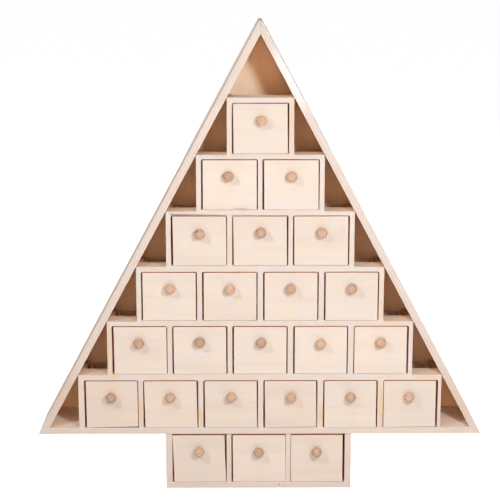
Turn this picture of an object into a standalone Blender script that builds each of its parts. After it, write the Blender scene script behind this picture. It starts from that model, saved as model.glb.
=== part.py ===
"""Plywood advent calendar in the shape of a Christmas tree on a trunk.

Two slanted boards and a base board hold six stepped tiers of cells, and a box with three more cells
is the trunk. Each of the 24 cells holds an open-topped drawer with a turned knob.
The origin is the middle of the trunk's underside. +Z is up and the drawer fronts face -Y.
"""

import math

import bmesh
import bpy

# Driving dimensions in metres: layout
TIER_DRAWERS = (1, 2, 3, 4, 5, 6)
TRUNK_DRAWERS = 3
CELL_WIDTH = 0.0505
CELL_HEIGHT = 0.0474
CELL_DEPTH = 0.058

# Boards
WALL_BOARD = 0.0045
RAIL_BOARD = 0.0036
SIDE_BOARD = 0.0061
BASE_BOARD = 0.006
TRUNK_BOARD = 0.006
BACK_PANEL = 0.003
FRONT_RAIL = 0.021
REAR_RAIL = 0.008
TIP_CUT = 0.0027

# Drawers
DRAWER_FRONT = 0.004
DRAWER_WALL = 0.003
DRAWER_FLOOR = 0.003

# Knobs
KNOB_BELOW_TOP = 0.0146
KNOB_DIAMETER = 0.0104
KNOB_REACH = 0.0098
HEAD_THICKNESS = 0.0072
HEAD_WIDEST_SHARE = 0.36
FOOT_DIAMETER = 0.0062
NECK_DIAMETER = 0.005
TENON_DIAMETER = 0.0042
KNOB_SEGMENTS = 14
HOLE_SEGMENTS = 14
HEAD_BACK_TURNS = (35, 70)
HEAD_FRONT_TURNS = (90, 65, 42, 20)
SMOOTH_BELOW = 50

# Clearances
GLUE_GAP = 0.0003
SIDE_CLEARANCE = 0.0011
TOP_CLEARANCE = 0.0011
REAR_CLEARANCE = 0.0015
TENON_CLEARANCE = 0.0002

# How far a cutter runs past the surface that it cuts
CUT_MARGIN = 0.001
# Points closer than this are one point
WELD = 0.000001

# Places that follow from the sizes
PITCH_X = CELL_WIDTH + WALL_BOARD
PITCH_Z = CELL_HEIGHT + RAIL_BOARD
TOTAL_DEPTH = CELL_DEPTH + BACK_PANEL
FRONT_Y = -TOTAL_DEPTH / 2
PANEL_Y = FRONT_Y + CELL_DEPTH
REAR_Y = FRONT_Y + TOTAL_DEPTH
TRUNK_TOP = TRUNK_BOARD + CELL_HEIGHT
BASE_Z = TRUNK_TOP + GLUE_GAP
TREE_Z = BASE_Z + BASE_BOARD
LEAN = math.atan2(PITCH_X / 2, PITCH_Z)

PLY_FACE = (0.86, 0.74, 0.61)
PLY_EDGE = (0.80, 0.68, 0.56)
PANEL_WOOD = (0.74, 0.58, 0.43)
KNOB_WOOD = (0.72, 0.47, 0.30)


def wood(name, colour, roughness):
    """A plain wood material for one piece."""
    material = bpy.data.materials.new(name)
    material.use_nodes = True
    shader = material.node_tree.nodes["Principled BSDF"]
    shader.inputs["Base Color"].default_value = (*colour, 1.0)
    shader.inputs["Roughness"].default_value = roughness
    shader.inputs["Metallic"].default_value = 0.0
    material.diffuse_color = (*colour, 1.0)
    return material


def mesh_object(name, builder):
    """An object from a bmesh, with its faces turned outward."""
    bmesh.ops.recalc_face_normals(builder, faces=builder.faces)
    mesh = bpy.data.meshes.new(name)
    builder.to_mesh(mesh)
    builder.free()
    made = bpy.data.objects.new(name, mesh)
    bpy.context.collection.objects.link(made)
    return made


def extruded(name, outline, step):
    """A closed outline of points, swept along the vector step."""
    builder = bmesh.new()
    face = builder.faces.new([builder.verts.new(point) for point in outline])
    swept = bmesh.ops.extrude_face_region(builder, geom=[face])
    moved = [item for item in swept["geom"] if isinstance(item, bmesh.types.BMVert)]
    bmesh.ops.translate(builder, verts=moved, vec=step)
    return mesh_object(name, builder)


def board(name, outline, front, rear):
    """A board cut to an outline of (x, z) points, from the plane y = front to y = rear."""
    return extruded(name, [(x, front, z) for x, z in outline], (0, rear - front, 0))


def box(name, low, high):
    """A rectangular block between two corners."""
    outline = [(low[0], low[2]), (high[0], low[2]), (high[0], high[2]), (low[0], high[2])]
    return board(name, outline, low[1], high[1])


def turned(name, profile, segments):
    """A profile of (radius, distance) points, turned about -Y."""
    builder = bmesh.new()
    points = [builder.verts.new((radius, -distance, 0)) for radius, distance in profile]
    edges = [builder.edges.new(pair) for pair in zip(points, points[1:])]
    bmesh.ops.spin(builder, geom=points + edges, axis=(0, 1, 0), cent=(0, 0, 0),
                   steps=segments, angle=math.tau)
    bmesh.ops.remove_doubles(builder, verts=builder.verts, dist=WELD)
    return mesh_object(name, builder)


def cut(target, cutters):
    """Takes the cutters out of the target's mesh."""
    for cutter in cutters:
        cutter.hide_render = True
        cutter.display_type = "WIRE"
        difference = target.modifiers.new(cutter.name, "BOOLEAN")
        difference.operation = "DIFFERENCE"
        difference.object = cutter
    graph = bpy.context.evaluated_depsgraph_get()
    result = bpy.data.meshes.new_from_object(target.evaluated_get(graph))
    target.modifiers.clear()
    target.data = result
    for cutter in cutters:
        bpy.data.objects.remove(cutter)
    return target


def tier_half_width(count):
    """From the middle of a tier of count drawers to the outer face of its end wall."""
    return (count * PITCH_X + WALL_BOARD) / 2


def tier_floor(count):
    """Height of the surface on which a tier of count drawers stands."""
    return TREE_Z + (len(TIER_DRAWERS) - count) * PITCH_Z


def slant_x(height, outward):
    """Half width of the tree at a height, outward of the line through the tiers' top corners."""
    steps_below_apex = len(TIER_DRAWERS) + 1 - (height - TREE_Z) / PITCH_Z
    return (steps_below_apex * PITCH_X + WALL_BOARD) / 2 + outward / math.cos(LEAN)


def slant_top(outward):
    """Height at which the slanted lines, moved outward, meet in the middle."""
    return TREE_Z + slant_x(TREE_Z, outward) * PITCH_Z / (PITCH_X / 2)


def cell_centres(count):
    """Middle of each cell across a row of count cells."""
    return [(index - (count - 1) / 2) * PITCH_X for index in range(count)]


def side_board(name, side):
    """A slanted board from the base board to the mitre at the top, its tip cut level."""
    foot = TREE_Z + GLUE_GAP
    outer = GLUE_GAP + SIDE_BOARD
    tip = slant_top(outer) - TIP_CUT
    mitre = GLUE_GAP / 2
    drop = mitre * PITCH_Z / (PITCH_X / 2)
    outline = [
        (side * slant_x(foot, GLUE_GAP), foot),
        (side * slant_x(foot, outer), foot),
        (side * slant_x(tip, outer), tip),
        (side * mitre, tip),
        (side * mitre, slant_top(GLUE_GAP) - drop),
    ]
    return board(name, outline, FRONT_Y, REAR_Y)


def base_board():
    """The bottom of the tree, its ends cut to the slant of the side boards."""
    outer = GLUE_GAP + SIDE_BOARD
    outline = [
        (-slant_x(BASE_Z, outer), BASE_Z),
        (slant_x(BASE_Z, outer), BASE_Z),
        (slant_x(TREE_Z, outer), TREE_Z),
        (-slant_x(TREE_Z, outer), TREE_Z),
    ]
    return board("base_board", outline, FRONT_Y, REAR_Y)


def tree_back():
    """The triangular panel between the side boards, behind the tiers."""
    foot = TREE_Z + GLUE_GAP
    half_width = slant_x(foot, 0)
    outline = [(-half_width, foot), (half_width, foot), (0, slant_top(0))]
    return board("tree_back_panel", outline, PANEL_Y, REAR_Y)


def row_outline(half_width, floor, walls, centres, shelf_over):
    """Outline of a row of cells: one shelf with walls standing on it or hanging under it.

    walls is the height range of the walls and shelf_over says that the shelf closes the top.
    """
    low, high = walls
    if shelf_over:
        shelf, open_end = high, low
    else:
        shelf, open_end = low, high
    outline = [(-half_width, floor), (-half_width, open_end)]
    for centre in centres:
        for x, ends in ((centre - CELL_WIDTH / 2, (open_end, shelf)),
                        (centre + CELL_WIDTH / 2, (shelf, open_end))):
            outline += [(x, z) for z in ends]
    return outline + [(half_width, open_end), (half_width, floor)]


def tier_frame(count):
    """Upright walls with a front rail over them, and a rear rail where the tier above stands."""
    low = tier_floor(count) + GLUE_GAP
    high = tier_floor(count) + PITCH_Z
    half_width = tier_half_width(count)
    rail_z = high - RAIL_BOARD
    outline = row_outline(half_width, high, (low, rail_z), cell_centres(count), True)
    rear = PANEL_Y - GLUE_GAP
    frame = board(f"tier_{count}_frame", outline, FRONT_Y, rear)
    side = half_width + CUT_MARGIN
    open_front = FRONT_Y + FRONT_RAIL
    open_rear = rear + CUT_MARGIN
    opening = [(-side, open_rear), (-side, open_front), (side, open_front), (side, open_rear)]
    if count > 1:
        rail_end = tier_half_width(count - 1)
        rail_front = rear - REAR_RAIL
        opening += [(rail_end, open_rear), (rail_end, rail_front),
                    (-rail_end, rail_front), (-rail_end, open_rear)]
    open_top = extruded(f"open_top_{count}", [(x, y, rail_z) for x, y in opening],
                        (0, 0, RAIL_BOARD + CUT_MARGIN))
    return cut(frame, [open_top])


def trunk_inner_half():
    """From the middle of the trunk to the inner face of its side wall."""
    return (TRUNK_DRAWERS * PITCH_X - WALL_BOARD) / 2


def trunk_frame():
    """Floor, side walls and dividers of the trunk, with a seat for its back panel."""
    inner = trunk_inner_half()
    outline = row_outline(inner + TRUNK_BOARD, 0, (TRUNK_BOARD, TRUNK_TOP),
                          cell_centres(TRUNK_DRAWERS), False)
    frame = board("trunk_frame", outline, FRONT_Y, REAR_Y)
    panel_seat = box(
        "trunk_panel_seat",
        (-inner, PANEL_Y - GLUE_GAP, TRUNK_BOARD),
        (inner, REAR_Y + CUT_MARGIN, TRUNK_TOP + CUT_MARGIN),
    )
    return cut(frame, [panel_seat])


def trunk_back():
    """The panel that closes the trunk behind its drawers."""
    half_width = trunk_inner_half() - GLUE_GAP
    return box("trunk_back_panel", (-half_width, PANEL_Y, TRUNK_BOARD + GLUE_GAP),
               (half_width, REAR_Y, TRUNK_TOP))


def drawer_mesh():
    """One drawer, its origin where the knob's axis meets the front face."""
    half_width = CELL_WIDTH / 2 - SIDE_CLEARANCE
    height = CELL_HEIGHT - TOP_CLEARANCE - GLUE_GAP
    length = CELL_DEPTH - REAR_CLEARANCE
    top = KNOB_BELOW_TOP
    low = top - height
    drawer = box("drawer", (-half_width, 0, low), (half_width, length, top))
    inside = box(
        "drawer_inside",
        (-half_width + DRAWER_WALL, DRAWER_FRONT, low + DRAWER_FLOOR),
        (half_width - DRAWER_WALL, length - DRAWER_WALL, top + CUT_MARGIN),
    )
    hole_radius = TENON_DIAMETER / 2 + TENON_CLEARANCE
    hole_reach = DRAWER_FRONT + CUT_MARGIN
    tenon_hole = turned("tenon_hole", [(0, CUT_MARGIN), (hole_radius, CUT_MARGIN),
                                       (hole_radius, -hole_reach), (0, -hole_reach)], HOLE_SEGMENTS)
    return cut(drawer, [inside, tenon_hole]).data


def knob_profile():
    """Radius and distance from the drawer's front along a turned knob, from tenon to tip."""
    head_radius = KNOB_DIAMETER / 2
    head_back = KNOB_REACH - HEAD_THICKNESS
    widest = head_back + HEAD_THICKNESS * HEAD_WIDEST_SHARE
    neck_radius = NECK_DIAMETER / 2
    tenon_radius = TENON_DIAMETER / 2
    profile = [
        (0, -DRAWER_FRONT),
        (tenon_radius, -DRAWER_FRONT),
        (tenon_radius, GLUE_GAP),
        (FOOT_DIAMETER / 2, GLUE_GAP),
        (neck_radius, (GLUE_GAP + head_back) / 2),
        (neck_radius, head_back),
    ]
    for turn in HEAD_BACK_TURNS:
        angle = math.radians(turn)
        radius = neck_radius + (head_radius - neck_radius) * math.sin(angle)
        profile.append((radius, widest - (widest - head_back) * math.cos(angle)))
    for turn in HEAD_FRONT_TURNS:
        angle = math.radians(turn)
        profile.append((head_radius * math.sin(angle), widest + (KNOB_REACH - widest) * math.cos(angle)))
    return profile + [(0, KNOB_REACH)]


def knob_mesh():
    """One turned knob, its origin where its axis meets the drawer's front face."""
    knob = turned("knob", knob_profile(), KNOB_SEGMENTS)
    knob.data.shade_smooth()
    knob.data.set_sharp_from_angle(angle=math.radians(SMOOTH_BELOW))
    return knob.data


def rows():
    """Each row of cells, top to bottom: its floor height and the middle of each cell."""
    for count in TIER_DRAWERS:
        yield tier_floor(count), cell_centres(count)
    yield TRUNK_BOARD, cell_centres(TRUNK_DRAWERS)


def add_drawers():
    """A drawer and a knob in each cell, both under an empty on the line that the drawer slides along."""
    drawer_shape = drawer_mesh()
    knob_shape = knob_mesh()
    for template in ("drawer", "knob"):
        bpy.data.objects.remove(bpy.data.objects[template])
    number = 0
    for floor, centres in rows():
        for centre in centres:
            number += 1
            slide = bpy.data.objects.new(f"drawer_{number:02d}_slide", None)
            slide.empty_display_size = KNOB_DIAMETER
            slide.location = (centre, FRONT_Y, floor + CELL_HEIGHT - TOP_CLEARANCE - KNOB_BELOW_TOP)
            bpy.context.collection.objects.link(slide)
            for kind, shape, colour, roughness in (("box", drawer_shape, PLY_FACE, 0.6),
                                                   ("knob", knob_shape, KNOB_WOOD, 0.45)):
                name = f"drawer_{number:02d}_{kind}"
                piece = bpy.data.objects.new(name, shape.copy())
                piece.data.materials.clear()
                piece.data.materials.append(wood(name, colour, roughness))
                piece.parent = slide
                bpy.context.collection.objects.link(piece)


def add_carcass():
    """The glued boards that never move."""
    pieces = [
        (side_board("left_side_board", -1), PLY_EDGE),
        (side_board("right_side_board", 1), PLY_EDGE),
        (base_board(), PLY_EDGE),
        (tree_back(), PANEL_WOOD),
        (trunk_frame(), PLY_EDGE),
        (trunk_back(), PANEL_WOOD),
    ]
    pieces += [(tier_frame(count), PLY_EDGE) for count in TIER_DRAWERS]
    for piece, colour in pieces:
        piece.data.materials.clear()
        piece.data.materials.append(wood(piece.name, colour, 0.65))


for old in list(bpy.data.objects):
    bpy.data.objects.remove(old)
add_carcass()
add_drawers()
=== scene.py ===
"""Visible model of the plywood advent calendar: boards with ply edges, drawers and turned knobs."""

import math
import random

import bpy
from mathutils import Matrix, Vector
from mathutils.geometry import tessellate_polygon


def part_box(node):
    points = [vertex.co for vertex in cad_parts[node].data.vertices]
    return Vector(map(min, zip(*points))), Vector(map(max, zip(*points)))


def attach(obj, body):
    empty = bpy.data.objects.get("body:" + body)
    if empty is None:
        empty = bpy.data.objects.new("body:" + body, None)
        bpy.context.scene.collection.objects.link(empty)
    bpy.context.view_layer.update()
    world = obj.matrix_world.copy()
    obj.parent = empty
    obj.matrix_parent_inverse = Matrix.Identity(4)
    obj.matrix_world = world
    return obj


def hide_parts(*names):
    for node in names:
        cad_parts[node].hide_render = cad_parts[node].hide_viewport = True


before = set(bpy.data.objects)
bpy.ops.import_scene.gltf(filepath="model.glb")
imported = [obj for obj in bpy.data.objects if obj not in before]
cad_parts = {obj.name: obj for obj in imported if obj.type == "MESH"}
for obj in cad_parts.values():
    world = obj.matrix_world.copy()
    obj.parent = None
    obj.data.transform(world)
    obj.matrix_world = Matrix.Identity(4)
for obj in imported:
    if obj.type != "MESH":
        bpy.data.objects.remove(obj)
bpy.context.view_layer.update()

random.seed(24)

# Layout, worked out from the boxes of the CAD nodes
TIERS = (1, 2, 3, 4, 5, 6)
LOWEST = TIERS[-1]
TRUNK_DRAWERS = 3
DRAWERS = 24
TIER_BOXES = {count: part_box(f"tier_{count}_frame") for count in TIERS}
DRAWER_BOXES = [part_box(f"drawer_{number:02d}_box") for number in range(1, DRAWERS + 1)]
KNOB_BOXES = [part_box(f"drawer_{number:02d}_knob") for number in range(1, DRAWERS + 1)]
BASE_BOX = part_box("base_board")
SIDE_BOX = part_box("right_side_board")
PANEL_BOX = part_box("tree_back_panel")
TRUNK_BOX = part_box("trunk_frame")
TRUNK_PANEL_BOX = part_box("trunk_back_panel")

# Sizes that the boxes do not give, in metres. First the gap that the solids leave between parts
# glued together, and how thick the slanted boards and the trunk's boards are
GLUE_GAP = 0.0003
SIDE_BOARD = 0.0061
TRUNK_BOARD = 0.006
# Depths of the front sheet with the cells and of the rails at the rear
FRONT_LATTICE = 0.021
REAR_LATTICE = 0.008
# How thick a drawer's boards are
DRAWER_FRONT = 0.004
DRAWER_SIDE = 0.003
DRAWER_FLOOR = 0.003
FILLET = 0.0016
EDGE_ROUND = 0.00025
CORNER_ROUND = 0.0003
# How far apart boards are where they meet
JOINT_LINE = 0.00005
# How much lower than in the solids the undersides of the front sheet's rails are
RAIL_FACE = 0.0007
# How much a drawer's front is cut back on each side
FRONT_NARROW = 0.00005
# Height over the foot of a cut edge from which it is browned, by cutting and as painted shade
FOOT_EDGE = 0.0002
# A tenth of a millimetre, the unit of the tables below
TENTH = 0.0001

# Knobs, in metres: radii of the hole, tenon, foot and neck, and the neck's place from the drawer
HOLE_RADIUS = 0.0023
TENON_RADIUS = 0.0021
KNOB_FOOT = 0.0031
KNOB_NECK = 0.0025
NECK_FLARE = 0.0002
NECK_STARTS = 0.0012
NECK_ENDS = 0.0019
# The head's thickness, how much its radius is cut down, the share of its thickness at which it
# is widest, and the angles round its outline in degrees
KNOB_HEAD = 0.0072
KNOB_TRIM = 0.00025
KNOB_WIDEST = 0.28
HEAD_ANGLES = range(-64, 91, 14)
# Steps round a hole, round a knob, and between two points of its outline
HOLE_STEPS = 20
KNOB_SEGMENTS = 40
PROFILE_STEPS = 4
# Radius of the smallest ring, at a knob's ends
AXIS_RADIUS = 0.00001
# The knob with a dark knot, and the knot's place from where the knob meets its drawer
KNOTTY_KNOB = 4
KNOT_PLACE = Vector((-0.0022, -0.0083, 0.0034))
KNOT_RADIUS = 0.0011

# How brown the cut edges, the boards inside and the drawers' boards are, from 0 to 1.
# The cut edges' brown is partly the brown of cutting and partly painted shade in the cells and
# gaps; the brown of the boards inside and of the drawers' boxes is painted shade
CUT_BROWN_AND_SHADE = 0.9
INNER_PAINTED_SHADE = 0.4
BOX_PAINTED_SHADE = 0.25

# How much lower than in the solids the tops of a tier's cells and drawers are, in metres
TIER_DROP = {1: 0.0007, 2: -0.0002, 3: -0.0004, 4: 0.0004, 5: 0.0002, 6: 0.001}
# How much higher than in the solids the floors of a tier's cells and drawers are, in metres
TIER_LIFT = {1: 0.0009, 2: 0.0014, 3: 0.0013, 4: 0.0009, 5: 0.001}
# In tenths of a millimetre: how far to the right each drawer sits in its cell, and how much
# further to the right its foot is than its top
SIT_RIGHT = (0, 2, 3, 5, -1, 0, 1, 2, 1, 2, 5, 0, 2, 2, -4, 5, 0, 2, 2, 0, -6, -2, 6, -8)
FOOT_RIGHT = (5, 0, 4, 3, 5, 3, 0, 0, 2, 1, 2, 3, -1, 1, 2, 2, 7, 4, 6, 2, 3, 16, 3, 3)
# How far the left and right sides of some cells are from the solids' sides, in tenths of a
# millimetre to the right. Their drawers are as much wider, narrower or moved
CELL_EDGES = {3: (-4, 0), 4: (0, -1), 5: (1, 0), 6: (-3, 0), 8: (2, -1), 9: (5, 3), 10: (8, 0),
              12: (1, 0), 14: (7, 2), 15: (9, 7), 16: (9, 2), 17: (2, 4), 18: (6, 5),
              19: (10, 3), 20: (12, 9), 21: (16, 15), 23: (-5, 4)}
# How far each knob is from its solid's place in its drawer, in tenths of a millimetre: to the
# right, and down
KNOB_RIGHT = (8, -12, 0, 0, 7, 0, 8, 0, 0, 0, -10, 0, 8, 0, 5, 2, 0, 9, 10, 9, 5, 0, -6, -5)
KNOB_DOWN = (6, -8, -4, 3, -9, -6, 0, 4, 0, 0, 2, -9, -4, 6, -4, 12, 11, 6, 10, 9, 5, 0, 8, 5)
# By how much the right foot of some drawers' fronts is cut short, in metres
RAISED_CORNER = {16: 0.001, 19: 0.0004, 21: 0.0004}
# Drawers of browner wood, and how much so
WARM_FRONTS = {8: 0.02, 16: 0.05, 17: 0.04, 19: 0.035}
# How far the trunk is to the right of its solids, in metres
TRUNK_SHIFT = -0.0011

# Worked out from the boxes: steps from cell to cell and from tier to tier, the cells' walls and
# size, the rails between tiers, the levels of the tree, and the slant of its sides
PITCH_X = DRAWER_BOXES[2][0].x - DRAWER_BOXES[1][0].x
PITCH_Z = TIER_BOXES[1][1].z - TIER_BOXES[2][1].z
WALL = TIER_BOXES[LOWEST][1].x * 2 - LOWEST * PITCH_X
CELL_WIDTH = PITCH_X - WALL
CELL_HEIGHT = BASE_BOX[0].z - TRUNK_BOARD
RAIL = PITCH_Z - CELL_HEIGHT
TREE_Z = BASE_BOX[1].z
FRONT_Y = BASE_BOX[0].y
REAR_Y = BASE_BOX[1].y
PANEL_Y = PANEL_BOX[0].y
DEPTH = REAR_Y - FRONT_Y
BASE_BOARD = TREE_Z - BASE_BOX[0].z
LEAN = math.atan2(PITCH_X / 2, PITCH_Z)
# From the slanted line through the tiers' corners to the outer face of a slanted board
SLANT_REACH = GLUE_GAP + SIDE_BOARD


# Outlines and plates

# How squarely a surface faces along the board's thickness where the plies start to show, and
# how much less squarely it faces where they show fully
CUT_BEGINS = 0.92
CUT_BLEND = 0.5
# How far apart two boards' places in the noise can be along each axis, in metres
SHIFT_REACH = 9


def rounded(corners, radius, steps=3):
    """Points and outward directions of an outline, its material on the left of the way round it.

    A corner is (a, b) or (a, b, its own radius).
    """
    outline = []
    total = len(corners)
    for index, corner in enumerate(corners):
        here = Vector(corner[:2])
        before = Vector(corners[index - 1][:2])
        after = Vector(corners[(index + 1) % total][:2])
        own = corner[2] if len(corner) > 2 else radius
        came = (here - before).normalized()
        goes = (after - here).normalized()
        out_1 = Vector((came.y, -came.x))
        out_2 = Vector((goes.y, -goes.x))
        turn = math.atan2(came.x * goes.y - came.y * goes.x, came.dot(goes))
        sign = 1.0 if turn > 0 else -1.0
        centre = here - sign * own * (out_1 + out_2) / (1 + out_1.dot(out_2))
        start = math.atan2(out_1.y, out_1.x)
        for step in range(steps + 1):
            angle = start + turn * step / steps
            out = Vector((math.cos(angle), math.sin(angle)))
            outline.append((centre + sign * own * out, out))
    return outline


def anticlockwise(corners):
    """The corners in the order that keeps the material on the left."""
    area = sum(a[0] * b[1] - b[0] * a[1] for a, b in zip(corners, corners[1:] + corners[:1]))
    return list(corners) if area > 0 else list(corners)[::-1]


def rectangle(along, across):
    """The corners of a rectangle from (0, 0)."""
    return [(0, 0), (along, 0), (along, across), (0, across)]


def round_hole(centre, radius):
    """A circular hole, its material on the left of the way round it."""
    outline = []
    for step in range(HOLE_STEPS):
        angle = -math.tau * step / HOLE_STEPS
        out = Vector((-math.cos(angle), -math.sin(angle)))
        outline.append((Vector(centre) - radius * out, out))
    return outline


def random_shift():
    """Where in the noise a board's wood lies."""
    return Vector([random.uniform(0, SHIFT_REACH) for _ in range(3)])


class Stock:
    """Collects the boards of one piece as points, faces, normals and wood coordinates."""

    def __init__(self):
        self.points = []
        self.normals = []
        self.faces = []
        self.grain = []
        self.ply = []
        self.toast = []

    def plate(self, loops, height, place, on_edge=None, tone=None, toast=0.0, rim_toast=None,
              sharp=None):
        """A plate cut to an outline with holes, swept by height, its rims rounded.

        place takes (a, b, height) to the row frame. on_edge is the board's thickness when the
        outline is drawn on the board's edge, so that b runs through the thickness. Otherwise
        height does. toast is how brown the board is: the browner wood of some drawer fronts,
        and painted shade on the boards inside the cells and on the drawers' boxes.
        rim_toast(point) is how brown its rim is at a point of the outline: the brown of cut
        edges with painted shade where the rim lies in a cell, a gap or toward the trunk's drawers.
        sharp(point) says where the rim is left unrounded.
        """
        if tone is None:
            tone = random.uniform(-1, 1)
        shift = random_shift()
        r = EDGE_ROUND
        half = math.sqrt(0.5)
        mid = r * (1 - half)
        rings = ((r, 0.0, -1.0), (mid, mid, -half), (0.0, r, 0.0),
                 (0.0, height - r, 0.0), (mid, height - mid, half), (r, height, 1.0))
        mirrored = place.determinant() < 0
        turned = place.to_3x3()
        caps = ([], [])
        for loop in loops:
            first = len(self.points)
            count = len(loop)
            for inset, level, up in rings:
                level_out = math.sqrt(max(0.0, 1 - up * up))
                for point, out in loop:
                    spot = point if sharp and sharp(point) else point - out * inset
                    local = Vector((spot.x, spot.y, level))
                    normal = Vector((out.x * level_out, out.y * level_out, up))
                    # The rim's brown, partly painted shade, fades onto the board's faces
                    edge_toast = rim_toast(point) if rim_toast else toast
                    self.toast.append(toast + (edge_toast - toast) * level_out ** 2)
                    self.points.append(place @ local)
                    self.normals.append((turned @ normal).normalized())
                    if on_edge:
                        wood = Vector((local.x, local.z, local.y))
                        through = local.y / on_edge
                        face_on = abs(normal.y)
                    else:
                        wood = local
                        through = local.z / height
                        face_on = abs(normal.z)
                    cut = min(1.0, max(0.0, (CUT_BEGINS - face_on) / CUT_BLEND))
                    self.grain.append(wood + shift)
                    self.ply.append((through, cut, tone))
            for ring in range(len(rings) - 1):
                low = first + ring * count
                for step in range(count):
                    after = (step + 1) % count
                    quad = (low + step, low + after, low + count + after, low + count + step)
                    self.faces.append(quad[::-1] if mirrored else quad)
            caps[0].append(range(first, first + count))
            caps[1].append(range(first + (len(rings) - 1) * count, first + len(rings) * count))
        for side, cap in enumerate(caps):
            self.fill(cap, loops, rings[0][0], (side == 0) != mirrored)

    def fill(self, cap, loops, inset, downward):
        """Closes one side of a plate."""
        flat = [[(point - out * inset).to_3d() for point, out in loop] for loop in loops]
        numbers = [number for ring in cap for number in ring]
        for triangle in tessellate_polygon(flat):
            a, b, c = (flat_point(flat, corner) for corner in triangle)
            facing_up = (b - a).to_2d().cross((c - a).to_2d()) > 0
            face = [numbers[corner] for corner in triangle]
            self.faces.append(face if facing_up != downward else face[::-1])

    def block(self, size, place, **extra):
        """A board of size (along the grain, across it, thickness)."""
        along, across, thick = size
        self.plate([rounded(rectangle(along, across), CORNER_ROUND)], thick, place, **extra)

    def piece(self, name, body, material, nodes=()):
        """Makes the object, puts it on the body that it rides on, and hides the solids' parts that
        it stands for.
        """
        mesh = bpy.data.meshes.new(name)
        mesh.from_pydata([tuple(point) for point in self.points], [], self.faces)
        for label, values in (("grain", self.grain), ("ply", self.ply)):
            layer = mesh.attributes.new(label, "FLOAT_VECTOR", "POINT")
            layer.data.foreach_set("vector", [number for value in values for number in value])
        mesh.attributes.new("toast", "FLOAT", "POINT").data.foreach_set("value", self.toast)
        mesh.materials.append(material)
        mesh.shade_smooth()
        mesh.normals_split_custom_set_from_vertices([tuple(normal) for normal in self.normals])
        made = bpy.data.objects.new(name, mesh)
        bpy.context.collection.objects.link(made)
        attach(made, body)
        if nodes:
            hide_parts(*nodes)


def flat_point(loops, number):
    """A point of several loops by its number in the run of them all."""
    for loop in loops:
        if number < len(loop):
            return loop[number]
        number -= len(loop)
    raise IndexError(number)


def axes(a, b, up, origin):
    """Matrix whose columns are the world directions of a, b and height, and the origin."""
    rows = Matrix([Vector(direction).normalized() for direction in (a, b, up)])
    return Matrix.Translation(origin) @ rows.transposed().to_4x4()


# Materials

WOOD_SPECULAR = 0.06
# Noise along the grain and across it, in waves per metre
BANDS = (4.0, 60.0, 60.0)
STREAKS = (30.0, 1400.0, 1400.0)
PORES = (220.0, 3600.0, 3600.0)
BLOTCHES = 45.0
END_PORES = (1500.0, 1500.0, 2600.0)
EDGE_BANDS = (14.0, 90.0, 500.0)
KNOB_STREAKS = (60.0, 900.0, 900.0)
KNOB_RINGS = (20.0, 420.0, 160.0)
KNOB_PORES = (500.0, 5200.0, 5200.0)
# Glue lines between the plies: how dark, and the most of the board and of a ply that half a
# line's width takes
GLUE_SHADE = 0.74
GLUE_OF_BOARD = 0.03
GLUE_OF_PLY = 0.1
# A knob's pores against its dark colour, and how much lighter or darker a knob can be
PORE_SHADE = 0.6
KNOB_TONE_REACH = 0.12


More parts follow.
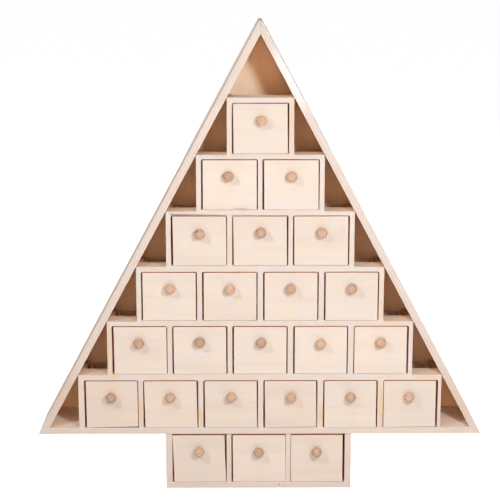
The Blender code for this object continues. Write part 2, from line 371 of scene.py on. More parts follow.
class Paint:
    """A material's nodes, made one call at a time."""

    def __init__(self, name, roughness):
        self.material = bpy.data.materials.new(name)
        self.material.use_nodes = True
        self.tree = self.material.node_tree
        self.shader = self.tree.nodes["Principled BSDF"]
        self.shader.inputs["Roughness"].default_value = roughness
        self.shader.inputs["Specular IOR Level"].default_value = WOOD_SPECULAR

    def node(self, kind, *inputs, **settings):
        """A node, its inputs given in order as values or as other nodes' outputs."""
        made = self.tree.nodes.new(kind)
        for key, value in settings.items():
            setattr(made, key, value)
        sockets = [socket for socket in made.inputs if socket.enabled]
        for socket, value in zip(sockets, inputs):
            if isinstance(value, bpy.types.NodeSocket):
                self.tree.links.new(value, socket)
            else:
                socket.default_value = value
        return made

    def maths(self, operation, *inputs):
        """One operation on numbers."""
        return self.node("ShaderNodeMath", *inputs, operation=operation).outputs[0]

    def attribute(self, name):
        """An attribute of the mesh that holds vectors."""
        return self.node("ShaderNodeAttribute", attribute_name=name).outputs["Vector"]

    def factor(self, name):
        """An attribute of the mesh that holds numbers."""
        return self.node("ShaderNodeAttribute", attribute_name=name).outputs["Fac"]

    def place(self):
        """The point's own place."""
        return self.node("ShaderNodeTexCoord").outputs["Object"]

    def vector_maths(self, operation, *inputs):
        """The node of one operation on vectors."""
        return self.node("ShaderNodeVectorMath", *inputs, operation=operation)

    def scaled(self, vector, scale):
        """The vector, each of its numbers times its own scale."""
        return self.vector_maths("MULTIPLY", vector, scale).outputs[0]

    def noise(self, vector, scale, detail, roughness, distortion=0.0):
        """Noise from 0 to 1 at a vector."""
        made = self.node("ShaderNodeTexNoise")
        self.tree.links.new(vector, made.inputs["Vector"])
        made.inputs["Scale"].default_value = scale
        made.inputs["Detail"].default_value = detail
        made.inputs["Roughness"].default_value = roughness
        made.inputs["Distortion"].default_value = distortion
        return made.outputs[0]

    def ramp(self, value, *stops):
        """Colour or grey ramp: each stop is (place, colour) or (place, grey)."""
        made = self.node("ShaderNodeValToRGB", value)
        elements = made.color_ramp.elements
        for index, (place, colour) in enumerate(stops):
            if index < 2:
                element = elements[index]
                element.position = place
            else:
                element = elements.new(place)
            if isinstance(colour, (int, float)):
                colour = (colour, colour, colour)
            element.color = (*colour, 1.0)
        return made.outputs[0]

    def mix(self, share, first, second, blend="MIX"):
        """The first colour, with a share of the second mixed in."""
        made = self.node("ShaderNodeMix", data_type="RGBA", blend_type=blend)
        for name, value in (("Factor_Float", share), ("A_Color", first), ("B_Color", second)):
            socket = next(entry for entry in made.inputs if entry.identifier == name)
            if isinstance(value, bpy.types.NodeSocket):
                self.tree.links.new(value, socket)
            elif isinstance(value, tuple):
                socket.default_value = (*value, 1.0)
            else:
                socket.default_value = value
        return next(entry for entry in made.outputs if entry.identifier == "Result_Color")

    def toned(self, colour, tone, reach):
        """The colour, lighter or darker by the board's own tone."""
        shade = self.maths("MULTIPLY_ADD", tone, reach, 1.0)
        grey = self.node("ShaderNodeCombineColor", shade, shade, shade).outputs[0]
        return self.mix(1.0, colour, grey, "MULTIPLY")

    def colour(self, value):
        """Sets the colour."""
        self.tree.links.new(value, self.shader.inputs["Base Color"])

    def rough(self, value):
        """Sets the roughness."""
        self.tree.links.new(value, self.shader.inputs["Roughness"])

    def bump(self, height, strength, distance):
        """Raises and lowers the surface by up to distance, in metres."""
        made = self.node("ShaderNodeBump")
        made.inputs["Strength"].default_value = strength
        made.inputs["Distance"].default_value = distance
        self.tree.links.new(height, made.inputs["Height"])
        self.tree.links.new(made.outputs[0], self.shader.inputs["Normal"])


def rgb(red, green, blue):
    """Linear colour of an sRGB colour given in 0 to 255."""
    def linear(level):
        level /= 255
        return level / 12.92 if level <= 0.04045 else ((level + 0.055) / 1.055) ** 2.4
    return tuple(linear(level) for level in (red, green, blue))


# Wood browned where it was cut, the same brown also painted as shade in the cells, the gaps and
# the drawers' boxes, and the colours of the knot, the stains, the pale places and the panel's
# patch of painted light
BROWN_AND_SHADE_LIGHT = rgb(226, 148, 100)
BROWN_AND_SHADE_DARK = rgb(200, 122, 78)
KNOT = rgb(92, 50, 34)
YELLOWED = rgb(226, 188, 138)
SPECK = rgb(160, 98, 66)
PALE = rgb(245, 236, 230)
HONEY = rgb(214, 184, 160)
# The pale of the panel's painted patch of light
PAINTED_LIGHT_PALE = rgb(255, 236, 208)

# Marks in the wood, in millimetres: middle (x, z), half width, half height, strength, colour
LATTICE_MARKS = (
    (-135.0, 110.1, 8.0, 3.6, 0.55, YELLOWED),
    (-110.3, 74.0, 4.5, 19.0, 0.5, YELLOWED),
    (-54.6, 70.0, 4.5, 12.0, 0.6, YELLOWED),
    (56.5, 72.0, 4.5, 14.0, 0.45, YELLOWED),
    (112.5, 82.0, 4.5, 26.0, 0.5, YELLOWED),
    (27.3, 341.5, 4.0, 26.0, 0.4, YELLOWED),
    (154.7, 108.2, 13.0, 3.0, 0.45, YELLOWED),
    (-139.1, 136.0, 4.5, 32.0, 0.5, YELLOWED))
DRAWER_MARKS = (
    (-18.2, 266.6, 9.0, 0.9, 0.45, BROWN_AND_SHADE_DARK),
    (-40.5, 274.3, 1.1, 0.9, 0.25, SPECK),
    (30.0, 283.3, 0.9, 0.8, 0.25, SPECK))
BOARD_MARKS = (
    (18.4, 3.4, 1.2, 0.9, 0.8, SPECK),
    (22.6, 3.2, 3.2, 0.7, 0.35, SPECK),
    (30.0, 388.0, 30.0, 50.0, 0.75, PALE),
    (-181.0, 92.0, 22.0, 45.0, 0.5, HONEY),
    (180.5, 92.0, 22.0, 45.0, 0.5, HONEY))
# On the panel, a patch of painted light: the pale place in the top cell where the right lamp's
# light falls through the opening
PANEL_PAINTED_LIGHT = ((-20.0, 368.0, 24.0, 40.0, 0.85, PAINTED_LIGHT_PALE),)
MM_PER_METRE = 1000
# How fast a mark fades with the distance from its surface, per metre
MARK_DEPTH = 500.0


def ply_stops(plies, light, dark):
    """Stops of the ramp through a board: its plies by turns light and dark, with glue between."""
    glue = tuple(level * GLUE_SHADE for level in dark)
    half_line = min(GLUE_OF_BOARD, GLUE_OF_PLY / plies)
    stops = [(0.0, light)]
    for layer in range(1, plies):
        start = layer / plies
        below, above = (light, dark) if layer % 2 else (dark, light)
        stops += [(start - half_line, below), (start, glue), (start + half_line, above)]
    return stops


def ply_material(name, light, warm, dark, edge_light, edge_dark, plies, contrast, tone_reach,
                 outer=None, marks=(), marks_y=FRONT_Y):
    """Raw plywood: veneer with fine grain on its faces, and its layers on its cut edges.

    outer is the colour that the veneer on the board's far side tends to; on the slanted boards and
    the base it is a grey of painted shade. marks are the stains and specks on the surface at
    marks_y, and on the panel a patch of painted light.
    """
    paint = Paint(name, 0.85)
    grain = paint.attribute("grain")
    ply = paint.node("ShaderNodeSeparateXYZ", paint.attribute("ply"))
    through, cut, tone = ply.outputs

    bands = paint.noise(paint.scaled(grain, BANDS), 1.0, 3.0, 0.55, 0.6)
    streaks = paint.noise(paint.scaled(grain, STREAKS), 1.0, 2.0, 0.6)
    pores = paint.noise(paint.scaled(grain, PORES), 1.0, 1.0, 0.5)
    blotches = paint.noise(grain, BLOTCHES, 2.0, 0.5)

    face = paint.mix(paint.ramp(blotches, (0.35, 0.0), (0.7, 1.0)), light, warm)
    face = paint.mix(paint.ramp(bands, (0.45, 0.0), (0.75, 0.5 * contrast)), face, dark)
    face = paint.mix(paint.ramp(streaks, (0.5, 0.0), (0.8, 0.45 * contrast)), face, dark)
    face = paint.mix(paint.ramp(pores, (0.66, 0.0), (0.74, 0.35 * contrast)), face, dark)

    if outer:
        face = paint.mix(paint.ramp(through, (0.8, 0.0), (0.9, 0.6)), face, outer)

    layers = paint.ramp(through, *ply_stops(plies, edge_light, edge_dark))
    end_pores = paint.noise(paint.scaled(grain, END_PORES), 1.0, 2.0, 0.6)
    edge_bands = paint.noise(paint.scaled(grain, EDGE_BANDS), 1.0, 2.0, 0.5)
    edge = paint.mix(paint.ramp(end_pores, (0.5, 0.0), (0.8, 0.35)), layers, edge_dark)
    edge = paint.mix(paint.ramp(edge_bands, (0.4, 0.0), (0.75, 0.5)), edge, edge_light)

    wood = paint.toned(paint.mix(cut, face, edge), tone, tone_reach)
    for x, z, half_x, half_z, strength, tint in marks:
        middle = (x / MM_PER_METRE, marks_y, z / MM_PER_METRE)
        offset = paint.vector_maths("SUBTRACT", paint.place(), middle).outputs[0]
        scaled = paint.scaled(offset, (MM_PER_METRE / half_x, MARK_DEPTH, MM_PER_METRE / half_z))
        reach = paint.vector_maths("LENGTH", scaled).outputs["Value"]
        frayed = paint.maths("ADD", reach, paint.maths("MULTIPLY_ADD", blotches, 0.6, -0.3))
        wood = paint.mix(paint.ramp(frayed, (0.35, strength), (1.0, 0.0)), wood, tint)
    # Brown of cut edges together with painted shade in the cells, the gaps and the drawers' boxes,
    # mixed in by each point's amount of brown
    brown = paint.mix(paint.ramp(end_pores, (0.3, 0.0), (0.7, 1.0)), BROWN_AND_SHADE_LIGHT, BROWN_AND_SHADE_DARK)
    paint.colour(paint.mix(paint.factor("toast"), wood, brown))
    paint.rough(paint.maths("MULTIPLY_ADD", streaks, 0.16, 0.75))
    paint.bump(paint.maths("ADD", streaks, paint.maths("MULTIPLY", end_pores, cut)), 0.25, 0.00012)
    return paint.material


def knob_material(name, light, dark):
    """Turned hardwood, its grain along the knob's axis."""
    paint = Paint(name, 0.5)
    grain = paint.attribute("grain")
    streaks = paint.noise(paint.scaled(grain, KNOB_STREAKS), 1.0, 3.0, 0.6)
    rings = paint.noise(paint.scaled(grain, KNOB_RINGS), 1.0, 2.0, 0.5, 0.8)
    pores = paint.noise(paint.scaled(grain, KNOB_PORES), 1.0, 1.0, 0.5)
    colour = paint.mix(paint.ramp(rings, (0.3, 0.0), (0.75, 0.6)), light, dark)
    colour = paint.mix(paint.ramp(streaks, (0.45, 0.0), (0.8, 0.3)), colour, dark)
    pore_colour = tuple(level * PORE_SHADE for level in dark)
    colour = paint.mix(paint.ramp(pores, (0.62, 0.0), (0.72, 0.25)), colour, pore_colour)
    colour = paint.mix(paint.factor("toast"), colour, KNOT)
    tone = paint.node("ShaderNodeSeparateXYZ", paint.attribute("ply")).outputs[2]
    paint.colour(paint.toned(colour, tone, KNOB_TONE_REACH))
    paint.rough(paint.maths("MULTIPLY_ADD", streaks, 0.2, 0.4))
    paint.bump(streaks, 0.3, 0.0001)
    return paint.material


# Each wood: its face light, warm and dark, and its cut edge light and dark
DRAWER_COLOURS = (rgb(227, 211, 199), rgb(230, 210, 190), rgb(213, 190, 172),
                  rgb(225, 206, 192), rgb(212, 186, 165))
LATTICE_COLOURS = (rgb(221, 208, 201), rgb(226, 203, 180), rgb(211, 190, 175),
                   rgb(249, 228, 207), rgb(240, 212, 186))
BOARD_COLOURS = (rgb(251, 220, 190), rgb(250, 214, 180), rgb(237, 194, 156),
                 rgb(224, 206, 194), rgb(219, 199, 184))
BASE_COLOURS = (rgb(252, 234, 220), rgb(250, 228, 208), rgb(242, 212, 190),
                rgb(226, 209, 197), rgb(221, 202, 187))
PANEL_COLOURS = (rgb(253, 215, 176), rgb(252, 209, 166), rgb(243, 188, 142),
                 rgb(240, 206, 170), rgb(222, 178, 140))
# The colours that the faces on the far side of a board and of a panel tend to. The boards' grey is
# painted shade: the grey of their outer faces in shade.
OUTER_FACE_SHADE_GREY = rgb(198, 190, 184)
PANEL_OUTER = rgb(222, 205, 188)

DRAWER_PLY = ply_material("drawer_ply", *DRAWER_COLOURS, 3, 0.7, 0.03, marks=DRAWER_MARKS)
LATTICE_PLY = ply_material("lattice_ply", *LATTICE_COLOURS, 9, 0.6, 0.0, marks=LATTICE_MARKS)
BOARD_PLY = ply_material("board_ply", *BOARD_COLOURS, 5, 0.8, 0.02, OUTER_FACE_SHADE_GREY, BOARD_MARKS)
BASE_PLY = ply_material("base_ply", *BASE_COLOURS, 5, 0.8, 0.02, OUTER_FACE_SHADE_GREY, BOARD_MARKS)
INNER_PLY = ply_material("inner_ply", *BOARD_COLOURS, 5, 0.8, 0.02)
PANEL_PLY = ply_material("panel_ply", *PANEL_COLOURS, 3, 0.9, 0.02, PANEL_OUTER, PANEL_PAINTED_LIGHT,
                         PANEL_Y)
KNOB_WOOD = knob_material("knob_wood", rgb(211, 176, 150), rgb(181, 137, 106))


# Carcass

# Share of a tier's height by which a point may lie below the tier's floor
STEP_SLACK = 0.001


def half_width(count):
    """From the middle of a tier to the outer face of its end wall."""
    return (count * PITCH_X + WALL) / 2


def floor_of(count):
    """Height of the surface on which a tier's drawers stand."""
    return TREE_Z + (len(TIERS) - count) * PITCH_Z


def tier_at(height):
    """Number of drawers in the tier at a height, a floor's own height included."""
    steps_up = math.floor((height - TREE_Z) / PITCH_Z + STEP_SLACK)
    return min(len(TIERS), max(1, len(TIERS) - steps_up))


def cell_floor(count):
    """Height of the bottom of a tier's cells in the front sheet."""
    return floor_of(count) + TIER_LIFT.get(count, 0)


def cell_ceiling(count):
    """Height of the top of a tier's cells in the front sheet."""
    return floor_of(count) + CELL_HEIGHT - RAIL_FACE - TIER_DROP.get(count, 0)


def cell_sides(count):
    """Left and right side of each cell across a tier, as cut."""
    sides = []
    first = count * (count - 1) // 2 + 1
    for index in range(count):
        left, right = CELL_EDGES.get(first + index, (0, 0))
        centre = (index - (count - 1) / 2) * PITCH_X
        sides.append((centre - CELL_WIDTH / 2 + left * TENTH,
                      centre + CELL_WIDTH / 2 + right * TENTH))
    return sides


def slant_x(height, outward):
    """Half width of the tree at a height, outward of the line through the tiers' top corners."""
    steps_below_apex = len(TIERS) + 1 - (height - TREE_Z) / PITCH_Z
    return (steps_below_apex * PITCH_X + WALL) / 2 + outward / math.cos(LEAN)


def slant_top(outward):
    """Height at which the slanted lines, moved outward, meet in the middle."""
    return TREE_Z + slant_x(TREE_Z, outward) * PITCH_Z / (PITCH_X / 2)


def add_slanted_board(side, name, node):
    """A slanted board: its outline is drawn on its front edge, from the foot to the mitre."""
    foot_z = TREE_Z + JOINT_LINE
    tip = SIDE_BOX[1].z
    inner_foot = Vector((slant_x(foot_z, JOINT_LINE), foot_z))
    corners = [inner_foot, Vector((slant_x(foot_z, SLANT_REACH), foot_z)),
               Vector((slant_x(tip, SLANT_REACH), tip)), Vector((0, tip)),
               Vector((0, slant_top(JOINT_LINE)))]
    along = Vector((-math.sin(LEAN), math.cos(LEAN)))
    outward = Vector((math.cos(LEAN), math.sin(LEAN)))
    offsets = [corner - inner_foot for corner in corners]
    local = [(offset.dot(along), offset.dot(outward)) for offset in offsets]
    stock = Stock()
    place = axes((side * along.x, 0, along.y), (side * outward.x, 0, outward.y), (0, 1, 0),
                 (side * inner_foot.x, FRONT_Y, inner_foot.y))

    def at_mitre(point):
        return (inner_foot + along * point.x + outward * point.y).x < CORNER_ROUND

    stock.plate([rounded(anticlockwise(local), CORNER_ROUND / 2)], DEPTH, place,
                on_edge=SLANT_REACH - JOINT_LINE, sharp=at_mitre)
    stock.piece(name, "carcass", BOARD_PLY, [node])


def add_base():
    """The bottom board of the tree, its ends cut to the slant."""
    bottom = slant_x(BASE_BOX[0].z, SLANT_REACH)
    top = slant_x(TREE_Z, SLANT_REACH)
    stock = Stock()
    corners = [(-top, 0), (top, 0), (bottom, BASE_BOARD), (-bottom, BASE_BOARD)]
    place = axes((1, 0, 0), (0, 0, -1), (0, 1, 0), (0, FRONT_Y, TREE_Z))
    stock.plate([rounded(anticlockwise(corners), CORNER_ROUND)], DEPTH, place, on_edge=BASE_BOARD)
    stock.piece("base_plank", "carcass", BASE_PLY, ["base_board"])


def add_tree_panel():
    """The triangular panel behind the cells."""
    foot = PANEL_BOX[0].z
    half = slant_x(foot, 0)
    stock = Stock()
    corners = [(foot, half), (foot, -half), (slant_top(0), 0)]
    place = axes((0, 0, 1), (-1, 0, 0), (0, 1, 0), (0, PANEL_Y, 0))
    stock.plate([rounded(anticlockwise(corners), CORNER_ROUND)], REAR_Y - PANEL_Y, place)
    stock.piece("tree_rear_panel", "carcass", PANEL_PLY, ["tree_back_panel"])


def lattice_outline():
    """The stepped outline of the cells, those of the bottom tier open to the base board."""
    bottom = TREE_Z + JOINT_LINE
    right = [(half_width(LOWEST), bottom, CORNER_ROUND)]
    for count in reversed(TIERS):
        top = floor_of(count) + PITCH_Z
        right.append((half_width(count), top, CORNER_ROUND))
        if count > 1:
            right.append((half_width(count - 1), top, FILLET))
    left = [(-x, z, r) for x, z, r in reversed(right)]
    cell_top = cell_ceiling(LOWEST)
    notches = []
    for low_x, high_x in cell_sides(LOWEST):
        notches += [(low_x, bottom, CORNER_ROUND), (low_x, cell_top, FILLET),
                    (high_x, cell_top, FILLET), (high_x, bottom, CORNER_ROUND)]
    return rounded(right + left + notches, CORNER_ROUND, 4)


def cell_holes():
    """The cells of the upper tiers."""
    holes = []
    for count in TIERS[:-1]:
        low = cell_floor(count)
        top = cell_ceiling(count)
        for low_x, high_x in cell_sides(count):
            corners = [(low_x, low), (low_x, top), (high_x, top), (high_x, low)]
            holes.append(rounded(corners, FILLET, 5))
    return holes


def cell_toast(point):
    """How brown the front sheet's rim is at a point: brown as cut, together with painted shade, in
    the cells, and pale outside.
    """
    count = tier_at(point.y)
    stepped_in = abs(point.x) < half_width(count) - WALL / 4
    inside = cell_floor(count) + FOOT_EDGE < point.y < cell_ceiling(count) + JOINT_LINE
    return CUT_BROWN_AND_SHADE if stepped_in and inside else 0.0


def add_lattice():
    """The front sheet with the cells cut out of it."""
    nodes = [f"tier_{count}_frame" for count in TIERS]
    stock = Stock()
    place = axes((1, 0, 0), (0, 0, 1), (0, 1, 0), (0, FRONT_Y, 0))
    stock.plate([lattice_outline()] + cell_holes(), FRONT_LATTICE, place, tone=0.0,
                rim_toast=cell_toast)
    stock.piece("cell_lattice", "carcass", LATTICE_PLY, nodes)


def add_cell_walls():
    """The walls between the cells, behind the front sheet."""
    stock = Stock()
    start = FRONT_Y + FRONT_LATTICE + JOINT_LINE
    rear = PANEL_Y - JOINT_LINE
    size = (rear - start, CELL_HEIGHT - 2 * JOINT_LINE, WALL)
    for count in TIERS:
        low = floor_of(count) + JOINT_LINE
        for index in range(count + 1):
            middle = -half_width(count) + WALL / 2 + index * PITCH_X
            place = axes((0, 1, 0), (0, 0, 1), (1, 0, 0), (middle - WALL / 2, start, low))
            # Painted shade: the walls inside the cells are made brown where the shade falls
            stock.block(size, place, toast=INNER_PAINTED_SHADE)
    stock.piece("cell_walls", "carcass", INNER_PLY)


def add_rear_rails():
    """The rails under the upper tiers, at the rear of the cells."""
    stock = Stock()
    rear = PANEL_Y - JOINT_LINE
    for count in TIERS[1:]:
        reach = half_width(count - 1)
        low = floor_of(count) + CELL_HEIGHT
        place = axes((1, 0, 0), (0, 0, 1), (0, -1, 0), (-reach, rear, low))
        tall = RAIL - JOINT_LINE + TIER_LIFT[count - 1]
        # Painted shade: the rails behind the cells are made brown where the shade falls
        stock.block((2 * reach, tall, REAR_LATTICE), place, toast=INNER_PAINTED_SHADE)
    stock.piece("rear_rails", "carcass", INNER_PLY)


def add_trunk_floor():
    """The board on which the calendar stands."""
    half = TRUNK_BOX[1].x
    stock = Stock()
    corners = [(-half, 0), (half, 0), (half, TRUNK_BOARD), (-half, TRUNK_BOARD)]
    place = axes((1, 0, 0), (0, 0, -1), (0, 1, 0), (TRUNK_SHIFT, FRONT_Y, TRUNK_BOARD))
    stock.plate([rounded(corners, CORNER_ROUND)], DEPTH, place, on_edge=TRUNK_BOARD)
    stock.piece("trunk_floor", "carcass", BOARD_PLY, ["trunk_frame"])


def add_trunk_wall(name, middle, thick, depth, wood):
    """A wall or divider of the trunk, with painted shade in brown on its faces toward the drawers.
    """
    half = TRUNK_BOX[1].x
    low = TRUNK_BOARD + JOINT_LINE
    tall = TRUNK_BOX[1].z - low
    side = math.copysign(1, middle)
    place = axes((0, 0, 1), (side, 0, 0), (0, 1, 0),
                 (middle - side * thick / 2 + TRUNK_SHIFT, FRONT_Y, low))

    # Painted shade: the faces toward the drawers are browned where shade falls between the walls
    # and the drawers
    def inner_toast(point):
        across = middle + side * (point.y - thick / 2)
        return CUT_BROWN_AND_SHADE / 2 if abs(across) < half - thick / 2 else 0.0

    stock = Stock()
    stock.plate([rounded(rectangle(tall, thick), CORNER_ROUND)], depth, place, on_edge=thick,
                rim_toast=inner_toast)
    stock.piece(name, "carcass", wood)


def add_trunk_panel():
    """The back of the trunk."""
    low, high = TRUNK_PANEL_BOX
    stock = Stock()
    stock.block((high.x - low.x, high.z - low.z, high.y - low.y),
                axes((1, 0, 0), (0, 0, 1), (0, 1, 0), (low.x + TRUNK_SHIFT, low.y, low.z)))
    stock.piece("trunk_rear_panel", "carcass", PANEL_PLY, ["trunk_back_panel"])


def add_trunk():
    """The trunk's floor, walls, dividers and back."""
    wall_middle = TRUNK_BOX[1].x - TRUNK_BOARD / 2
    divider_depth = PANEL_Y - GLUE_GAP - FRONT_Y
    add_trunk_floor()
    add_trunk_wall("trunk_left_wall", -wall_middle, TRUNK_BOARD, DEPTH, BOARD_PLY)
    add_trunk_wall("trunk_divider_left", -PITCH_X / 2, WALL, divider_depth, INNER_PLY)
    add_trunk_wall("trunk_divider_right", PITCH_X / 2, WALL, divider_depth, INNER_PLY)
    add_trunk_wall("trunk_right_wall", wall_middle, TRUNK_BOARD, DEPTH, BOARD_PLY)
    add_trunk_panel()


# Drawers and knobs

def tier_of(number):
    """The tier that a drawer is in, or 0 for the trunk."""
    if number > DRAWERS - TRUNK_DRAWERS:
        return 0
    return next(count for count in TIERS if number <= count * (count + 1) // 2)


def trunk_shift(number):
    """How far to the right the photo shows the trunk, for a drawer that is in it."""
    return TRUNK_SHIFT if tier_of(number) == 0 else 0.0


def drawer_box(number):
    """A drawer's box as it sits in its cell, the trunk's ones moved over with the trunk."""
    low, high = DRAWER_BOXES[number - 1]
    left, right = CELL_EDGES.get(number, (0, 0))
    sits = SIT_RIGHT[number - 1]
    lift = TIER_LIFT.get(tier_of(number), 0)
    at_left = Vector((trunk_shift(number) + (sits + left) * TENTH, 0, lift))
    at_right = Vector((trunk_shift(number) + (sits + right) * TENTH, 0, 0))
    return Vector(low) + at_left, Vector(high) + at_right


def knob_place(number):
    """Where a knob's axis meets the outer face of its drawer's front."""
    low, high = KNOB_BOXES[number - 1]
    face = DRAWER_BOXES[number - 1][0].y
    right = trunk_shift(number) + (SIT_RIGHT[number - 1] + KNOB_RIGHT[number - 1]) * TENTH
    down = KNOB_DOWN[number - 1] * TENTH
    return Vector(((low.x + high.x) / 2 + right, face, (low.z + high.z) / 2 - down))


def front_toast(point):
    """How brown the rim of a drawer's front is at a point: the brown of the cut edge with painted
    shade in the gap round the drawer; its foot stays pale.
    """
    return CUT_BROWN_AND_SHADE if point.y > FOOT_EDGE else 0


def add_drawer(number):
    """An open-topped box of five boards, its front standing above its sides."""
    low, high = drawer_box(number)
    width = high.x - low.x
    tall = high.z - low.z - TIER_DROP.get(tier_of(number), 0)
    rim = tall - JOINT_LINE
    half = width / 2 - FRONT_NARROW
    middle = (low.x + high.x) / 2
    lean = FOOT_RIGHT[number - 1] * TENTH / 2
    knob = knob_place(number)
    stock = Stock()
    corners = [(lean - half, 0), (lean + half, RAISED_CORNER.get(number, 0)), (half - lean, tall),
               (-lean - half, tall)]
    hole = round_hole((knob.x - middle, knob.z - low.z), HOLE_RADIUS)
    stock.plate([rounded(corners, CORNER_ROUND), hole], DRAWER_FRONT,
                axes((1, 0, 0), (0, 0, 1), (0, 1, 0), (middle, low.y, low.z)),
                toast=WARM_FRONTS.get(number, 0), rim_toast=front_toast)
    # Painted shade: the boards of the drawer's box are made brown as the shade inside the cell
    look = {"tone": random.uniform(-1, 1), "toast": BOX_PAINTED_SHADE}
    start = low.y + DRAWER_FRONT + JOINT_LINE
    side_long = high.y - low.y - DRAWER_FRONT - JOINT_LINE
    for x in (low.x + DRAWER_SIDE, high.x):
        stock.block((side_long, rim, DRAWER_SIDE),
                    axes((0, 1, 0), (0, 0, 1), (-1, 0, 0), (x, start, low.z)), **look)
    inner = width - 2 * (DRAWER_SIDE + JOINT_LINE)
    left = low.x + DRAWER_SIDE + JOINT_LINE
    stock.block((inner, rim, DRAWER_SIDE),
                axes((1, 0, 0), (0, 0, 1), (0, 1, 0), (left, high.y - DRAWER_SIDE, low.z)), **look)
    floor_long = high.y - DRAWER_SIDE - JOINT_LINE - start
    stock.block((inner, floor_long, DRAWER_FLOOR),
                axes((1, 0, 0), (0, 1, 0), (0, 0, 1), (left, start, low.z)), **look)
    stock.piece(f"drawer_{number:02d}_wood", f"drawer_{number:02d}", DRAWER_PLY,
                [f"drawer_{number:02d}_box"])


def smooth_profile(points):
    """A smooth line through (radius, distance) points."""
    line = []
    spots = [Vector(point) for point in points]
    for index in range(len(spots) - 1):
        p0 = spots[max(0, index - 1)]
        p1 = spots[index]
        p2 = spots[index + 1]
        p3 = spots[min(len(spots) - 1, index + 2)]
        for step in range(PROFILE_STEPS):
            t = step / PROFILE_STEPS
            line.append(0.5 * ((2 * p1) + (p2 - p0) * t + (2 * p0 - 5 * p1 + 4 * p2 - p3) * t * t
                               + (3 * p1 - p0 - 3 * p2 + p3) * t ** 3))
    line.append(spots[-1])
    return line


def is_knot(number, point):
    """Whether a point of a knob, seen from its foot, is on the dark knot that one knob has."""
    return number == KNOTTY_KNOB and (point - KNOT_PLACE).length < KNOT_RADIUS


def knob_profile(radius, reach):
    """The foot, neck and round head of a knob, as (radius, distance from the drawer)."""
    head_back = reach - KNOB_HEAD
    widest = head_back + KNOB_HEAD * KNOB_WIDEST
    stem = [(KNOB_FOOT, GLUE_GAP), (KNOB_FOOT, GLUE_GAP * 2), (KNOB_NECK + NECK_FLARE, NECK_STARTS),
            (KNOB_NECK, NECK_ENDS)]
    head = []
    for angle in HEAD_ANGLES:
        turn = math.radians(angle)
        rise = reach - widest if angle > 0 else widest - head_back
        head.append((radius * math.cos(turn), widest + rise * math.sin(turn)))
    head[-1] = (0.0, reach)
    return smooth_profile(stem + head)


def add_knob(number):
    """A turned knob: tenon, foot, neck and round head."""
    low, high = KNOB_BOXES[number - 1]
    reach = DRAWER_BOXES[number - 1][0].y - low.y
    axis = knob_place(number)
    profile = knob_profile((high.z - low.z) / 2 - KNOB_TRIM, reach)
    tenon = [(0.0, -DRAWER_FRONT), (TENON_RADIUS, -DRAWER_FRONT), (TENON_RADIUS, GLUE_GAP)]
    stock = Stock()
    tone = random.uniform(-1, 1)
    twist = Matrix.Rotation(random.uniform(0, math.tau), 3, "Y")
    shift = random_shift()
    for line in (tenon, profile):
        first = len(stock.points)
        for index, (out, reach_here) in enumerate(line):
            before = Vector(line[max(0, index - 1)])
            after = Vector(line[min(len(line) - 1, index + 1)])
            run = after - before
            flat = Vector((run.y, -run.x)).normalized()
            for step in range(KNOB_SEGMENTS):
                angle = math.tau * step / KNOB_SEGMENTS
                spoke = Vector((math.cos(angle), 0, math.sin(angle)))
                point = spoke * max(out, AXIS_RADIUS) + Vector((0, -reach_here, 0))
                local = twist @ point
                stock.points.append(axis + point)
                stock.normals.append((spoke * flat.x + Vector((0, -flat.y, 0))).normalized())
                stock.grain.append(Vector((local.y, local.x, local.z)) + shift)
                stock.ply.append((0.5, 0.0, tone))
                stock.toast.append(1.0 if is_knot(number, point) else 0.0)
        for ring in range(len(line) - 1):
            a = first + ring * KNOB_SEGMENTS
            b = a + KNOB_SEGMENTS
            for step in range(KNOB_SEGMENTS):
                after_step = (step + 1) % KNOB_SEGMENTS
                stock.faces.append((a + step, a + after_step, b + after_step, b + step))
    stock.piece(f"drawer_{number:02d}_turned_knob", f"drawer_{number:02d}", KNOB_WOOD,
                [f"drawer_{number:02d}_knob"])


# Stage, light and camera

FLOOR_REACH = 40.0
PAPER_GREY = (0.8, 0.8, 0.8, 1)
# How much the floor glows to the camera, and how much light comes from all round
PAPER_GLOW = 0.93
SURROUND_LEVEL = 0.08
WHITE = (1.0, 1.0, 1.0)
# Each lamp: name, place, target, size in metres, watts, colour
LAMPS = (
    ("right_lamp", (0.23, -0.60, 0.49), (0.02, 0.0, -0.2), 0.1, 2.85, (0.87, 0.935, 1.0)),
    ("left_lamp", (-0.5, -0.56, 0.66), (-0.05, 0.0, 0.15), 0.08, 2.2, (0.92, 0.955, 1.0)),
    ("front_lamp", (-0.1, -1.6, 0.25), (0.0, 0.0, 0.2), 1.0, 7.0, (1.0, 0.86, 0.74)),
    ("top_lamp", (0.0, -0.7, 1.5), (0.0, 0.0, 0.2), 0.9, 2.0, (1.0, 0.98, 0.96)),
    ("right_side_lamp", (1.2, 0.35, 0.7), (0.1, 0.0, 0.2), 0.7, 6.5, WHITE),
    ("left_side_lamp", (-1.3, 0.5, 0.6), (-0.1, 0.0, 0.2), 0.7, 3.5, WHITE),
    ("back_lamp", (-0.3, 1.9, 0.9), (0.0, 0.0, 0.2), 1.2, 16.0, WHITE))
# The photograph's camera: its place in metres, its turns in degrees, its lens in millimetres
CAMERA_PLACE = (-0.0178, -1.1983, 0.4899)
CAMERA_TURN = -0.422
CAMERA_DOWN = 12.612
CAMERA_ROLL = 0.034
LENS = 95.75
SENSOR = 36.0
NEAREST = 0.05
FARTHEST = 200.0


def backdrop_rays(tree):
    """1 for the rays that show the backdrop to the camera, 0 for those that light the object."""
    path = tree.nodes.new("ShaderNodeLightPath")
    shown = path.outputs["Is Camera Ray"]
    for kind in ("Is Glossy Ray", "Is Transmission Ray"):
        larger = tree.nodes.new("ShaderNodeMath")
        larger.operation = "MAXIMUM"
        tree.links.new(shown, larger.inputs[0])
        tree.links.new(path.outputs[kind], larger.inputs[1])
        shown = larger.outputs[0]
    return shown


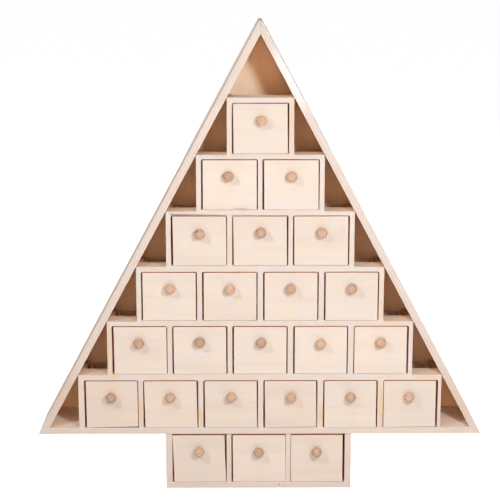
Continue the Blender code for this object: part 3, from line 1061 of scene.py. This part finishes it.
def add_stage():
    """A pale floor that looks white to the camera and keeps the object's shadow."""
    mesh = bpy.data.meshes.new("floor")
    signs = ((-1, -1), (1, -1), (1, 1), (-1, 1))
    corners = [(x * FLOOR_REACH, y * FLOOR_REACH, 0) for x, y in signs]
    mesh.from_pydata(corners, [], [(0, 1, 2, 3)])
    floor = bpy.data.objects.new("floor", mesh)
    bpy.context.collection.objects.link(floor)
    material = bpy.data.materials.new("floor_paper")
    material.use_nodes = True
    tree = material.node_tree
    shader = tree.nodes["Principled BSDF"]
    shader.inputs["Base Color"].default_value = PAPER_GREY
    shader.inputs["Roughness"].default_value = 0.9
    shader.inputs["Specular IOR Level"].default_value = 0.0
    shader.inputs["Emission Color"].default_value = (1, 1, 1, 1)
    shown = backdrop_rays(tree)
    strength = tree.nodes.new("ShaderNodeMath")
    strength.operation = "MULTIPLY"
    strength.inputs[1].default_value = PAPER_GLOW
    tree.links.new(shown, strength.inputs[0])
    tree.links.new(strength.outputs[0], shader.inputs["Emission Strength"])
    mesh.materials.append(material)


def add_world():
    """An even pale surround, white where the camera sees it."""
    world = bpy.data.worlds.new("studio")
    bpy.context.scene.world = world
    world.use_nodes = True
    tree = world.node_tree
    background = tree.nodes["Background"]
    background.inputs["Color"].default_value = (1, 1, 1, 1)
    shown = backdrop_rays(tree)
    strength = tree.nodes.new("ShaderNodeMapRange")
    tree.links.new(shown, strength.inputs["Value"])
    strength.inputs["To Min"].default_value = SURROUND_LEVEL
    strength.inputs["To Max"].default_value = 1.0
    tree.links.new(strength.outputs[0], background.inputs["Strength"])


def add_lamp(name, place, target, size, watts, colour):
    """A round soft lamp at a place, turned to its target."""
    light = bpy.data.lights.new(name, "AREA")
    light.shape = "DISK"
    light.size = size
    light.energy = watts
    light.color = colour
    lamp = bpy.data.objects.new(name, light)
    lamp.location = place
    lamp.rotation_euler = (Vector(target) - Vector(place)).to_track_quat("-Z", "Y").to_euler()
    lamp.visible_camera = False
    bpy.context.collection.objects.link(lamp)


def add_camera():
    """The photograph's camera."""
    data = bpy.data.cameras.new("camera")
    data.sensor_width = SENSOR
    data.lens = LENS
    data.clip_start = NEAREST
    data.clip_end = FARTHEST
    camera = bpy.data.objects.new("camera", data)
    bpy.context.collection.objects.link(camera)
    turn = (Matrix.Rotation(math.radians(CAMERA_TURN), 4, "Z")
            @ Matrix.Rotation(math.radians(90 - CAMERA_DOWN), 4, "X")
            @ Matrix.Rotation(math.radians(CAMERA_ROLL), 4, "Z"))
    camera.matrix_world = Matrix.Translation(CAMERA_PLACE) @ turn
    bpy.context.scene.camera = camera


add_slanted_board(-1, "left_slanted_board", "left_side_board")
add_slanted_board(1, "right_slanted_board", "right_side_board")
add_base()
add_tree_panel()
add_lattice()
add_cell_walls()
add_rear_rails()
add_trunk()
for drawer_number in range(1, DRAWERS + 1):
    add_drawer(drawer_number)
    add_knob(drawer_number)

add_stage()
add_world()
for lamp_settings in LAMPS:
    add_lamp(*lamp_settings)
add_camera()
bpy.context.scene.view_settings.view_transform = "Standard"
